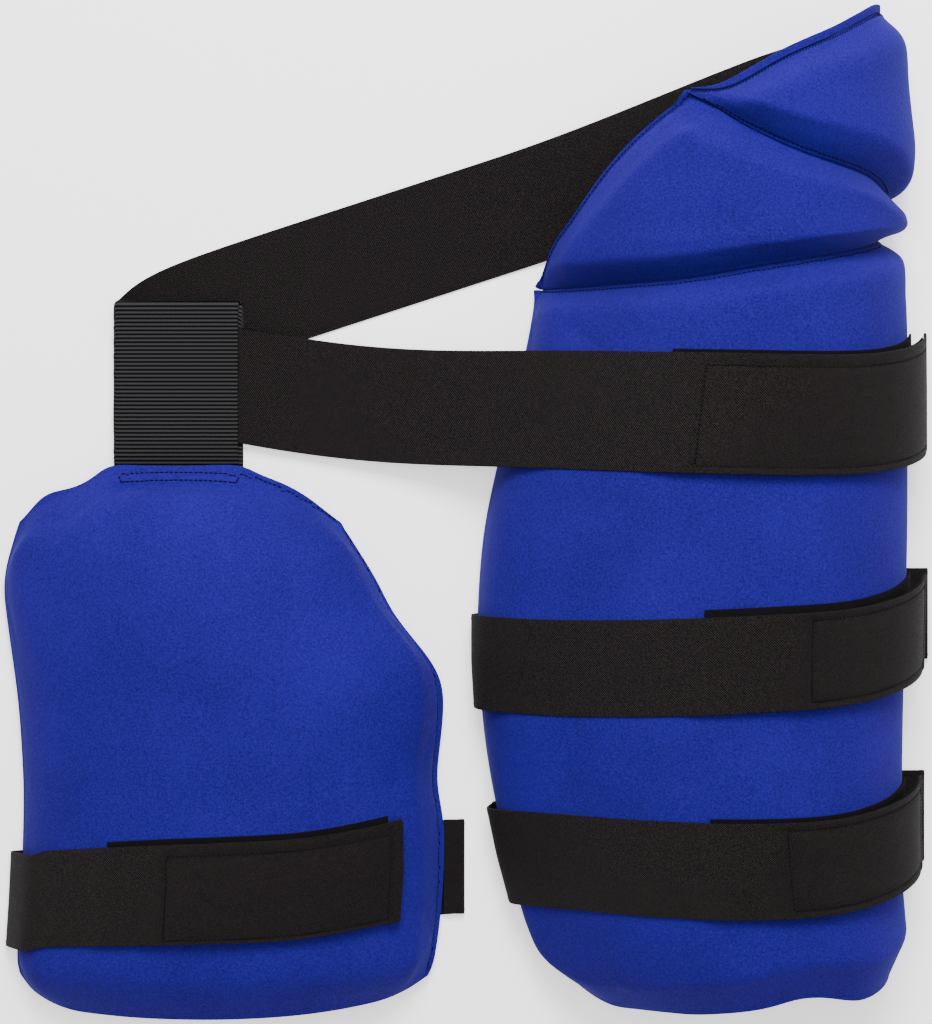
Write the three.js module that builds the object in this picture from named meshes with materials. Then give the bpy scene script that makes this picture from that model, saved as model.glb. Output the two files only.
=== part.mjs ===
// A cricket thigh guard lying on its back: a long outer pad with a hinged hip flap, a shorter inner pad that
// hangs on the waist belt by a webbing keeper, and elastic straps that close with hook and pile tape.
// Millimetres. X runs from the inner pad to the outer pad, Y from the knee to the hip, Z up from the surface
// that the guard lies on. The hollow of each pad, where the thigh goes, faces down.
import * as THREE from "three";

// Elastic, webbing and tapes
const beltWidth = 64;
const legStrapWidth = 51;
const innerStrapWidth = 53;
const elasticThickness = 1.6;
const keeperWidth = 69.5;
const webbingThickness = 1.8;
const hookTapeThickness = 1.1;
const pileTapeThickness = 1.3;
const hemLength = 6;
const gap = 0.4;
const bendGap = 1;

// Outer pad
const outerLength = 542;
const outerWidth = 214;
const outerRise = 76;
const outerKneeY = -272;
const outerLeftX = 10;
const foamThickness = 18;
const edgeThickness = 4.5;
const foamBevel = 22;
const kneeBevel = 31;
const hingeBevel = 17;
const seamGap = 0.5;
const weltWidth = 5;
const weltThickness = 2.4;

// Inner pad
const innerLength = 308;
const innerWidth = 246;
const innerRise = 40;
const innerKneeY = -283;
const innerLeftX = -256;
const innerFoam = 15;
const innerBevel = 20;
const innerKneeBevel = 26;
const innerTopBevel = 24;

// Where the straps stand off the pads, and where the belt runs
const tabSpring = 5;
const rootReach = 26;
const innerRootReach = 10;
const innerStrapSlack = 5;
const liftRun = 12;
const neckOverlap = 12;
const neckRise = 8;
const keeperSkew = 2.7;
const keeperReach = 58.5;
const turnRise = 4;
const beltAngle = 18;
const beltSettle = 18;
const beltExitReach = 6;
const beltExitDrop = 14;
const touchdownX = 20;
const hipSeamLap = 50;

const padSeat = elasticThickness + gap;
const floorTop = elasticThickness;
// Shares of a pad's width or edge: the welt's ends, the run of a strap's end that springs away, and where the
// rear edge is taken for a strap's sewn end
const shares = { weltStart: 0.02, weltEnd: 0.9, springRun: 0.2, rear: 0.99 };

// Colours
const royalBlue = new THREE.MeshStandardMaterial({ color: 0x1c35a5, roughness: 0.85, metalness: 0 });
const blackElastic = new THREE.MeshStandardMaterial({ color: 0x1d1a1b, roughness: 0.75, metalness: 0 });
const blackWebbing = new THREE.MeshStandardMaterial({ color: 0x262628, roughness: 0.6, metalness: 0 });
const blackTape = new THREE.MeshStandardMaterial({ color: 0x131214, roughness: 0.95, metalness: 0 });

// One column of a table, read smoothly at a place between its rows.
function column(rows, place, name, at) {
  const last = rows.length - 1;
  let i = 1;
  while (i < last && rows[i][place] < at) i += 1;
  const slope = (k) => {
    const a = rows[Math.max(k - 1, 0)];
    const b = rows[Math.min(k + 1, last)];
    return (b[name] - a[name]) / (b[place] - a[place]);
  };
  const from = rows[i - 1];
  const to = rows[i];
  const span = to[place] - from[place];
  const t = THREE.MathUtils.clamp((at - from[place]) / span, 0, 1);
  const t2 = t * t;
  const t3 = t2 * t;
  return (
    (2 * t3 - 3 * t2 + 1) * from[name] +
    (t3 - 2 * t2 + t) * span * slope(i - 1) +
    (3 * t2 - 2 * t3) * to[name] +
    (t3 - t2) * span * slope(i)
  );
}

// A panel's boundary: its rows are spread by their part of the boundary, from 0 to 1.
function edgeOf(rows) {
  return (part) => [column(rows, "part", "across", part), column(rows, "part", "along", part)];
}

// A straight boundary between two places.
function straightEdge(from, to) {
  return (part) => [0, 1].map((k) => from[k] + (to[k] - from[k]) * part);
}

// A boundary that is stretched to meet the ends of its neighbours.
function fitted(edge, from, to) {
  const [start, end] = [edge(0), edge(1)];
  return (part) =>
    edge(part).map((value, k) => value + (from[k] - start[k]) * (1 - part) + (to[k] - end[k]) * part);
}

// Evenly spread numbers, both ends included.
function spread(from, to, count) {
  return Array.from({ length: count }, (_, i) => from + ((to - from) * i) / (count - 1));
}

// Numbers from 0 to 1 that lie closer together at both ends, where the foam thins.
function places(count) {
  return spread(0, Math.PI, count + 1).map((angle) => (1 - Math.cos(angle)) / 2);
}

// The lining of a pad, bent like the thigh: across runs round the section by length, along from knee to hip.
function makeLining({ section, stations, width, rise, length, startX, startY }) {
  const outline = new THREE.CatmullRomCurve3(
    section.map((row) => new THREE.Vector3(row.reach * width, 0, row.height * rise)),
    false,
    "centripetal",
  );
  outline.arcLengthDivisions = 400;
  const girth = outline.getLength();
  const point = (across, along) => {
    const onSection = outline.getPointAt(THREE.MathUtils.clamp(across, 0, 1));
    const left = column(stations, "along", "left", along) * width;
    const right = column(stations, "along", "right", along) * width;
    return new THREE.Vector3(
      startX + left + ((right - left) * onSection.x) / width,
      startY + along * length,
      padSeat + onSection.z * column(stations, "along", "rise", along),
    );
  };
  const step = 1e-3;
  const normal = (across, along) => {
    const a = THREE.MathUtils.clamp(across, step, 1 - step);
    const aside = point(a + step, along).sub(point(a - step, along));
    const upward = point(a, along + step).sub(point(a, along - step));
    return aside.cross(upward).normalize();
  };
  // The point under the lining at a plan place, between the pad's left edge and its widest place.
  const below = (x, y, clearance) => {
    const along = (y - startY) / length;
    let [low, high] = [0, 0.9];
    for (let turn = 0; turn < 30; turn += 1) {
      const middle = (low + high) / 2;
      if (point(middle, along).x < x) low = middle;
      else high = middle;
    }
    return point(low, along).addScaledVector(normal(low, along), -clearance);
  };
  return { point, normal, below, girth, length };
}

// A foam panel on a lining, between four boundaries. Its foam thins to a sewn edge over each one's bevel.
function makePanel(lining, sides, foam, bevels) {
  const [b0, b1, t0, t1] = [sides.bottom(0), sides.bottom(1), sides.top(0), sides.top(1)];
  const patch = (u, v) => {
    const [bottom, top, left, right] = [sides.bottom(u), sides.top(u), sides.left(v), sides.right(v)];
    return [0, 1].map(
      (k) =>
        (1 - v) * bottom[k] +
        v * top[k] +
        (1 - u) * left[k] +
        u * right[k] -
        ((1 - u) * (1 - v) * b0[k] + u * (1 - v) * b1[k] + (1 - u) * v * t0[k] + u * v * t1[k]),
    );
  };
  const onLining = (u, v) => lining.point(...patch(u, v));
  const ramp = (distance, bevel) => 1 - (1 - Math.min(distance / bevel, 1)) ** 1.7;
  const thickness = (u, v) => {
    const here = onLining(u, v);
    const full =
      ramp(here.distanceTo(onLining(0, v)), bevels.left) *
      ramp(here.distanceTo(onLining(1, v)), bevels.right) *
      ramp(here.distanceTo(onLining(u, 0)), bevels.bottom) *
      ramp(here.distanceTo(onLining(u, 1)), bevels.top);
    return edgeThickness + (foam - edgeThickness) * full;
  };
  const surface = (u, v, above) => {
    const place = patch(u, v);
    return lining.point(...place).addScaledVector(lining.normal(...place), above);
  };
  // The panel's own u and v for a place on the lining.
  const locate = (across, along) => {
    let [u, v] = [across, along];
    const step = 1e-4;
    for (let turn = 0; turn < 12; turn += 1) {
      const [a, b] = patch(u, v);
      const [au, bu] = patch(u + step, v);
      const [av, bv] = patch(u, v + step);
      const [ju, jv, ku, kv] = [(au - a) / step, (av - a) / step, (bu - b) / step, (bv - b) / step];
      const size = ju * kv - jv * ku;
      u = THREE.MathUtils.clamp(u + ((across - a) * kv - (along - b) * jv) / size, 0, 1);
      v = THREE.MathUtils.clamp(v + ((along - b) * ju - (across - a) * ku) / size, 0, 1);
    }
    return [u, v];
  };
  // A point at a height over the foam.
  const over = (across, along, above) => {
    const lift = thickness(...locate(across, along)) + above;
    return lining.point(across, along).addScaledVector(lining.normal(across, along), lift);
  };
  return { surface, thickness, over, lining };
}

// A closed body between a lower and an upper sheet of points, each given as rows of equal length.
function slab(lower, upper) {
  const lastRow = lower.length - 1;
  const lastColumn = lower[0].length - 1;
  const at = (sheet, row, col) => (sheet * (lastRow + 1) + row) * (lastColumn + 1) + col;
  const faces = [];
  const quad = (a, b, c, d) => faces.push(a, b, c, a, c, d);
  for (let r = 0; r < lastRow; r += 1) {
    for (let c = 0; c < lastColumn; c += 1) {
      quad(at(1, r, c), at(1, r, c + 1), at(1, r + 1, c + 1), at(1, r + 1, c));
      quad(at(0, r, c), at(0, r + 1, c), at(0, r + 1, c + 1), at(0, r, c + 1));
    }
    quad(at(0, r, 0), at(1, r, 0), at(1, r + 1, 0), at(0, r + 1, 0));
    quad(at(0, r, lastColumn), at(0, r + 1, lastColumn), at(1, r + 1, lastColumn), at(1, r, lastColumn));
  }
  for (let c = 0; c < lastColumn; c += 1) {
    quad(at(0, 0, c), at(0, 0, c + 1), at(1, 0, c + 1), at(1, 0, c));
    quad(at(0, lastRow, c), at(1, lastRow, c), at(1, lastRow, c + 1), at(0, lastRow, c + 1));
  }
  const geometry = new THREE.BufferGeometry().setFromPoints([...lower.flat(), ...upper.flat()]);
  geometry.setIndex(faces);
  geometry.computeVertexNormals();
  return geometry;
}

// How many cells each panel has across it and along it
const panelSteps = {
  thigh: { across: 24, along: 24 },
  gusset: { across: 24, along: 10 },
  hip: { across: 20, along: 10 },
  inner: { across: 22, along: 20 },
};

function panelGeometry(panel, steps) {
  const sheet = (height) =>
    places(steps.along).map((v) => places(steps.across).map((u) => panel.surface(u, v, height(u, v))));
  return slab(
    sheet(() => 0),
    sheet((u, v) => panel.thickness(u, v)),
  );
}

// A flat band on ribs of points. A rib runs across the band on its inner face, and the band's thickness is
// added on the side that faces out of its loop.
function bandGeometry(ribs, thickness) {
  const outer = ribs.map((rib, r) => {
    const before = ribs[Math.max(r - 1, 0)];
    const after = ribs[Math.min(r + 1, ribs.length - 1)];
    return rib.map((point, k) => {
      const aside = rib[rib.length - 1].clone().sub(rib[0]);
      const onward = after[k].clone().sub(before[k]);
      return point.clone().addScaledVector(aside.cross(onward).normalize(), thickness);
    });
  });
  return slab(ribs, outer);
}

const ribParts = [-0.5, 0, 0.5];
const hipward = new THREE.Vector3(0, 1, 0);
const sideways = new THREE.Vector3(1, 0, 0);

// A straight rib round a middle point.
function straightRib(middle, aside, width) {
  return ribParts.map((part) => middle.clone().addScaledVector(aside, part * width));
}

// Ribs on one curve for each place across the band, without the first and the last.
function ribsBetween(curves, count) {
  return spread(0, 1, count + 2)
    .slice(1, -1)
    .map((t) => curves.map((curve) => curve.getPointAt(t)));
}

// Ribs that lead from one rib to another, leaving and arriving in the given directions.
function leadingRibs(from, leaving, to, arriving, pull, count) {
  const curves = from.map((start, k) => {
    const reach = start.distanceTo(to[k]) * pull;
    const first = start.clone().addScaledVector(leaving[k], reach);
    const second = to[k].clone().addScaledVector(arriving[k], -reach);
    return new THREE.CubicBezierCurve3(start, first, second, to[k]);
  });
  return ribsBetween(curves, count);
}

function directions(from, to) {
  return from.map((point, k) => to[k].clone().sub(point).normalize());
}

const guard = new THREE.Group();

function addPiece(name, geometry, material) {
  const mesh = new THREE.Mesh(geometry, material);
  mesh.name = name;
  guard.add(mesh);
}

// The outer pad's section, from its inner edge over the front of the thigh to the rear edge of its wing
const outerSection = [
  { reach: 0.0, height: 0.0 },
  { reach: 0.045, height: 0.15 },
  { reach: 0.15, height: 0.4 },
  { reach: 0.3, height: 0.68 },
  { reach: 0.47, height: 0.9 },
  { reach: 0.65, height: 1.0 },
  { reach: 0.81, height: 0.92 },
  { reach: 0.93, height: 0.7 },
  { reach: 0.985, height: 0.46 },
  { reach: 1.0, height: 0.26 },
  { reach: 0.995, height: 0.12 },
  { reach: 0.985, height: 0.02 },
];
const outerStations = [
  { along: 0.0, left: 0.26, right: 1.03, rise: 0.84 },
  { along: 0.02, left: 0.225, right: 1.03, rise: 0.86 },
  { along: 0.059, left: 0.168, right: 1.018, rise: 0.9 },
  { along: 0.101, left: 0.119, right: 1.005, rise: 0.93 },
  { along: 0.162, left: 0.072, right: 0.999, rise: 0.95 },
  { along: 0.225, left: 0.037, right: 0.999, rise: 0.97 },
  { along: 0.288, left: 0.014, right: 1.001, rise: 0.98 },
  { along: 0.38, left: 0.0, right: 1.006, rise: 1.0 },
  { along: 0.472, left: 0.014, right: 1.012, rise: 1.0 },
  { along: 0.535, left: 0.044, right: 1.013, rise: 1.0 },
  { along: 0.679, left: 0.133, right: 1.012, rise: 1.0 },
  { along: 0.76, left: 0.16, right: 1.006, rise: 1.0 },
  { along: 0.86, left: 0.165, right: 1.03, rise: 0.99 },
  { along: 0.93, left: 0.17, right: 1.016, rise: 0.96 },
  { along: 1.0, left: 0.18, right: 1.006, rise: 0.93 },
];

// The knee edge of the thigh panel, with the small notch where its wing turns back
const kneeEdge = [
  { part: 0.0, across: 0.0, along: 0.06 },
  { part: 0.06, across: 0.05, along: 0.022 },
  { part: 0.12, across: 0.11, along: 0.004 },
  { part: 0.22, across: 0.2, along: 0.0 },
  { part: 0.34, across: 0.31, along: 0.0 },
  { part: 0.52, across: 0.5, along: 0.0085 },
  { part: 0.66, across: 0.64, along: 0.022 },
  { part: 0.74, across: 0.73, along: 0.0145 },
  { part: 0.85, across: 0.84, along: 0.021 },
  { part: 1.0, across: 1.0, along: 0.05 },
];
// The two sewn hinges, from the pad's inner edge to the rear of its wing
const lowerHinge = [
  { part: 0.0, across: 0.0, along: 0.731 },
  { part: 0.16, across: 0.165, along: 0.7303 },
  { part: 0.38, across: 0.386, along: 0.733 },
  { part: 0.48, across: 0.485, along: 0.7387 },
  { part: 0.63, across: 0.63, along: 0.7496 },
  { part: 0.78, across: 0.785, along: 0.764 },
  { part: 0.93, across: 0.93, along: 0.7797 },
  { part: 1.0, across: 1.0, along: 0.778 },
];
const upperHinge = [
  { part: 0.0, across: 0.385, along: 0.918 },
  { part: 0.1, across: 0.45, along: 0.902 },
  { part: 0.2, across: 0.51, along: 0.883 },
  { part: 0.34, across: 0.6, along: 0.8615 },
  { part: 0.48, across: 0.69, along: 0.8485 },
  { part: 0.64, across: 0.79, along: 0.839 },
  { part: 0.78, across: 0.865, along: 0.829 },
  { part: 1.0, across: 1.0, along: 0.812 },
];
const gussetInnerEdge = [
  { part: 0.0, across: 0.0, along: 0.731 },
  { part: 0.2, across: 0.05, along: 0.778 },
  { part: 0.4, across: 0.1, along: 0.802 },
  { part: 0.6, across: 0.17, along: 0.84 },
  { part: 0.8, across: 0.26, along: 0.878 },
  { part: 1.0, across: 0.385, along: 0.918 },
];
const hipTopEdge = [
  { part: 0.0, across: 0.385, along: 0.921 },
  { part: 0.2, across: 0.48, along: 0.921 },
  { part: 0.4, across: 0.6, along: 0.95 },
  { part: 0.6, across: 0.715, along: 0.974 },
  { part: 0.74, across: 0.79, along: 0.991 },
  { part: 0.86, across: 0.87, along: 1.006 },
  { part: 0.93, across: 0.94, along: 1.006 },
  { part: 1.0, across: 1.0, along: 0.982 },
];

const outerLining = makeLining({
  section: outerSection,
  stations: outerStations,
  width: outerWidth,
  rise: outerRise,
  length: outerLength,
  startX: outerLeftX,
  startY: outerKneeY,
});

// A hinge's edge, half a seam towards the hip or the knee.
function besideHinge(rows, way) {
  const edge = edgeOf(rows);
  return (part) => {
    const [across, along] = edge(part);
    return [across, along + (way * seamGap) / 2 / outerLength];
  };
}

function outerPanel(bottom, top, left, bevels) {
  const inner = fitted(left, bottom(0), top(0));
  const wing = straightEdge(bottom(1), top(1));
  return makePanel(outerLining, { bottom, top, left: inner, right: wing }, foamThickness, bevels);
}

const kneeSide = edgeOf(kneeEdge);
const hipSide = edgeOf(hipTopEdge);
const thighPanel = outerPanel(
  kneeSide,
  besideHinge(lowerHinge, -1),
  straightEdge(kneeSide(0), edgeOf(lowerHinge)(0)),
  { left: foamBevel, right: foamBevel, bottom: kneeBevel, top: hingeBevel },
);
const gussetPanel = outerPanel(
  besideHinge(lowerHinge, 1),
  besideHinge(upperHinge, -1),
  edgeOf(gussetInnerEdge),
  { left: foamBevel, right: foamBevel, bottom: hingeBevel, top: hingeBevel },
);
const hipPanel = outerPanel(
  besideHinge(upperHinge, 1),
  hipSide,
  straightEdge(edgeOf(upperHinge)(0), hipSide(0)),
  { left: foamBevel, right: foamBevel, bottom: foamBevel, top: hingeBevel },
);

// The sewn welt that stands on the hip flap's top edge
function weltGeometry() {
  const start = edgeThickness - weltThickness;
  const ribs = spread(shares.weltEnd, shares.weltStart, 24).map((part) => {
    const [across, along] = hipSide(part);
    const normal = outerLining.normal(across, along);
    return [gap, gap + weltWidth].map((out) =>
      outerLining.point(across, along + out / outerLength).addScaledVector(normal, start),
    );
  });
  return bandGeometry(ribs, weltThickness);
}

// The inner pad's section, from its outer edge over the thigh to its crotch edge
const innerSection = [
  { reach: 0.0, height: 0.0 },
  { reach: 0.1, height: 0.36 },
  { reach: 0.25, height: 0.75 },
  { reach: 0.42, height: 0.98 },
  { reach: 0.55, height: 1.0 },
  { reach: 0.75, height: 0.8 },
  { reach: 0.9, height: 0.42 },
  { reach: 1.0, height: 0.0 },
];
const innerStations = [
  { along: 0.0, left: 0.1, right: 0.88, rise: 0.72 },
  { along: 0.032, left: 0.08, right: 0.9, rise: 0.8 },
  { along: 0.068, left: 0.046, right: 0.933, rise: 0.86 },
  { along: 0.1045, left: 0.03, right: 0.958, rise: 0.9 },
  { along: 0.25, left: 0.04, right: 0.978, rise: 1.0 },
  { along: 0.359, left: 0.044, right: 0.978, rise: 1.0 },
  { along: 0.43, left: 0.044, right: 0.965, rise: 1.0 },
  { along: 0.559, left: 0.034, right: 0.978, rise: 1.0 },
  { along: 0.614, left: 0.026, right: 0.971, rise: 0.99 },
  { along: 0.65, left: 0.02, right: 0.944, rise: 0.97 },
  { along: 0.722, left: 0.007, right: 0.874, rise: 0.9 },
  { along: 0.795, left: 0.0, right: 0.826, rise: 0.8 },
  { along: 0.868, left: 0.02, right: 0.773, rise: 0.62 },
  { along: 0.92, left: 0.04, right: 0.735, rise: 0.42 },
  { along: 1.0, left: 0.06, right: 0.7, rise: 0.135 },
];
const innerKneeEdge = [
  { part: 0.0, across: 0.0, along: 0.082 },
  { part: 0.06, across: 0.02, along: 0.049 },
  { part: 0.14, across: 0.08, along: 0.026 },
  { part: 0.24, across: 0.18, along: 0.02 },
  { part: 0.42, across: 0.38, along: 0.018 },
  { part: 0.68, across: 0.68, along: 0.023 },
  { part: 0.85, across: 0.88, along: 0.039 },
  { part: 0.94, across: 0.96, along: 0.059 },
  { part: 1.0, across: 1.0, along: 0.082 },
];
// Its flat middle is the neck that the webbing is sewn under
const innerTopEdge = [
  { part: 0.0, across: 0.0, along: 0.9 },
  { part: 0.08, across: 0.065, along: 0.945 },
  { part: 0.2, across: 0.19, along: 0.965 },
  { part: 0.26, across: 0.25, along: 0.986 },
  { part: 0.31, across: 0.29, along: 0.998 },
  { part: 0.69, across: 0.71, along: 0.998 },
  { part: 0.74, across: 0.75, along: 0.988 },
  { part: 0.82, across: 0.83, along: 0.972 },
  { part: 0.91, across: 0.92, along: 0.945 },
  { part: 1.0, across: 1.0, along: 0.9 },
];
const neckMiddle = 0.5;

const innerLining = makeLining({
  section: innerSection,
  stations: innerStations,
  width: innerWidth,
  rise: innerRise,
  length: innerLength,
  startX: innerLeftX,
  startY: innerKneeY,
});
const innerKneeSide = edgeOf(innerKneeEdge);
const innerTopSide = edgeOf(innerTopEdge);
const innerPanel = makePanel(
  innerLining,
  {
    bottom: innerKneeSide,
    top: innerTopSide,
    left: straightEdge(innerKneeSide(0), innerTopSide(0)),
    right: straightEdge(innerKneeSide(1), innerTopSide(1)),
  },
  innerFoam,
  { left: innerBevel, right: innerBevel, bottom: innerKneeBevel, top: innerTopBevel },
);

// How high each layer of a strap lies over the foam: on the pad, on the pile tape, or on the hook tape that
// grips the pile. The stiff end springs away from the wing.
function layerLift({ panel, pileFrom, hookFrom, end, spring }) {
  const run = liftRun / panel.lining.girth;
  const springFrom = end - shares.springRun;
  return (across) => {
    const pile = THREE.MathUtils.smoothstep(across, pileFrom - run, pileFrom) * (pileTapeThickness + gap);
    const hook = THREE.MathUtils.smoothstep(across, hookFrom - run, hookFrom) * (hookTapeThickness + gap);
    const away = spring * THREE.MathUtils.smoothstep(across, springFrom, end);
    return { pile: gap, hook: gap + pile + away, strap: gap + pile + hook + away };
  };
}

// Ribs over a pad's front, from one place across it to another.
function frontRibs(strap, layer, from, to, count, offset = 0) {
  const lift = layerLift(strap);
  const { panel, width, route } = strap;
  return spread(from, to, count).map((across) => {
    const along = column(route, "across", "along", across);
    return ribParts.map((part) =>
      panel.over(across, along + (part * width + offset) / panel.lining.length, lift(across)[layer]),
    );
  });
}

// The hook tape under a strap's end and the pile tape on the pad
function addTapes(name, strap) {
  const { panel, end, pileFrom, hookFrom, pileOffset, steps } = strap;
  const tapeEnd = end - hemLength / panel.lining.girth;
  const count = (from) => Math.ceil(steps * (end - from)) + 2;
  const hook = frontRibs(strap, "hook", tapeEnd, hookFrom, count(hookFrom));
  addPiece(`${name}_hook_tape`, bandGeometry(hook, hookTapeThickness), blackTape);
  const pile = frontRibs(strap, "pile", tapeEnd, pileFrom, count(pileFrom), pileOffset);
  addPiece(`${name}_loop_patch`, bandGeometry(pile, pileTapeThickness), blackTape);
}

// A leg strap's turn round the pad's edge, from its front down to the surface below.
function edgeTurnRibs({ panel, width, route, slack, turnPlaces }) {
  const along = route[0].along;
  const turnTop = 2.2 * gap + floorTop;
  const curves = ribParts.map((part) => {
    const here = along + (part * width) / panel.lining.length;
    const corner = panel.over(0, here, 0);
    const at = (x, z) => new THREE.Vector3(x, corner.y, z);
    const left = corner.x - bendGap - slack;
    const points = [
      ...turnPlaces.map((across) => panel.over(across, here, bendGap)),
      at(left, turnTop),
      at(left + 2 * gap, floorTop),
      at(left + 8 * gap, floorTop),
    ];
    return new THREE.CatmullRomCurve3(points, false, "centripetal");
  });
  const ribs = ribsBetween(curves, 14);
  ribs.flat().forEach((point) => {
    point.z = Math.max(point.z, floorTop);
  });
  return ribs;
}

// A leg strap's sewn end: past the pad's rear edge it folds over itself and comes back to the seam.
function rootRibs({ panel, width, root, rootOut }) {
  const rear = ribParts.map((part) =>
    panel.over(shares.rear, root + (part * width) / panel.lining.length, 0),
  );
  const seamX = Math.max(...rear.map((point) => point.x)) + gap;
  const y = panel.lining.point(1, root).y;
  const rib = (x, z) => straightRib(new THREE.Vector3(x, y, z), hipward, width);
  const fold = spread(-90, 90, 5).map((degrees) => {
    const angle = THREE.MathUtils.degToRad(degrees);
    return rib(seamX + rootOut + gap * Math.cos(angle), floorTop + gap + gap * Math.sin(angle));
  });
  return [...fold, rib(seamX, floorTop + 2 * gap)];
}

function addLegStrap(name, strap) {
  const ribs = [
    ...frontRibs(strap, "strap", strap.end, strap.turnFrom, strap.steps),
    ...edgeTurnRibs(strap),
    ...rootRibs(strap),
  ];
  addPiece(`${name}_strap`, bandGeometry(ribs, elasticThickness), blackElastic);
  addTapes(name, strap);
}

const upperLegStrap = {
  panel: thighPanel,
  width: legStrapWidth,
  route: [
    { across: 0.0, along: 0.35 },
    { across: 0.2, along: 0.347 },
    { across: 0.4, along: 0.349 },
    { across: 0.6, along: 0.355 },
    { across: 0.75, along: 0.362 },
    { across: 0.85, along: 0.376 },
    { across: 0.95, along: 0.397 },
  ],
  pileFrom: 0.5,
  hookFrom: 0.645,
  end: 0.93,
  pileOffset: 4,
  turnFrom: 0.04,
  turnPlaces: [0.03, 0.02, 0.01, 0],
  root: 0.397,
  rootOut: rootReach,
  slack: 0,
  spring: tabSpring,
  steps: 38,
};
const lowerLegStrap = {
  ...upperLegStrap,
  route: [
    { across: 0.0, along: 0.157 },
    { across: 0.2, along: 0.1565 },
    { across: 0.4, along: 0.154 },
    { across: 0.6, along: 0.153 },
    { across: 0.72, along: 0.1555 },
    { across: 0.82, along: 0.166 },
    { across: 0.95, along: 0.19 },
  ],
  pileFrom: 0.5,
  hookFrom: 0.6,
  pileOffset: 2,
  root: 0.188,
};
const innerLegStrap = {
  panel: innerPanel,
  width: innerStrapWidth,
  route: [
    { across: 0.0, along: 0.216 },
    { across: 0.1, along: 0.226 },
    { across: 0.35, along: 0.245 },
    { across: 0.5, along: 0.252 },
    { across: 0.65, along: 0.258 },
    { across: 0.76, along: 0.27 },
    { across: 0.85, along: 0.281 },
    { across: 1.0, along: 0.298 },
  ],
  pileFrom: 0.25,
  hookFrom: 0.37,
  end: 0.86,
  pileOffset: 3,
  turnFrom: 0.1,
  turnPlaces: [0.08, 0.05],
  root: 0.2737,
  rootOut: innerRootReach,
  slack: innerStrapSlack,
  spring: 0,
  steps: 32,
};
const waistBelt = {
  panel: thighPanel,
  width: beltWidth,
  route: [
    { across: 0.0, along: 0.603 },
    { across: 0.3, along: 0.599 },
    { across: 0.5, along: 0.597 },
    { across: 0.7, along: 0.5975 },
    { across: 0.8, along: 0.603 },
    { across: 0.9, along: 0.618 },
    { across: 1.0, along: 0.642 },
  ],
  pileFrom: 0.4,
  hookFrom: 0.44,
  end: 0.93,
  pileOffset: 2,
  spring: tabSpring,
  steps: 32,
};
const beltLeavesPad = 0.2;
const hipSeam = { across: 0.79, along: 0.924 };
// How far from the belt's turn its ribs on the surface lie: closer where it bends
const floorRuns = [6, 13, 22, 34, 50, 75, 110];

// The keeper's layers, stacked up from the surface that the belt's upper run lies on
const keeperBackTop = padSeat + webbingThickness;
const beltInKeeper = keeperBackTop + gap;
const keeperFrontUnder = beltInKeeper + elasticThickness + gap;
const neckFrontUnder = keeperBackTop + gap;
const neck = innerLining.point(neckMiddle, innerTopSide(neckMiddle)[1]);
const beltTurnY = innerKneeY + innerLength + keeperReach;

// The webbing runs from under the pad's neck up over the belt, folds over it and comes back below it.
function keeperGeometry() {
  const rib = (y, z, skew) => straightRib(new THREE.Vector3(neck.x + skew, y, z), sideways, keeperWidth);
  const foldRadius = (keeperFrontUnder - keeperBackTop) / 2;
  const foldY = beltTurnY + beltWidth / 2;
  const end = neck.y - neckOverlap;
  const front = [
    rib(end, neckFrontUnder, 0),
    rib(neck.y + gap, neckFrontUnder, 0),
    rib(neck.y + gap + neckRise / 2, (neckFrontUnder + keeperFrontUnder) / 2, 0),
    rib(neck.y + gap + neckRise, keeperFrontUnder, 0),
    rib((neck.y + foldY) / 2, keeperFrontUnder, 0),
  ];
  const skews = spread(0, keeperSkew, 7);
  const fold = spread(90, -90, 7).map((degrees, i) => {
    const angle = THREE.MathUtils.degToRad(degrees);
    const height = keeperBackTop + foldRadius * (1 + Math.sin(angle));
    return rib(foldY + foldRadius * Math.cos(angle), height, skews[i]);
  });
  return bandGeometry([...front, ...fold, rib(end, keeperBackTop, keeperSkew)], webbingThickness);
}

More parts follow.
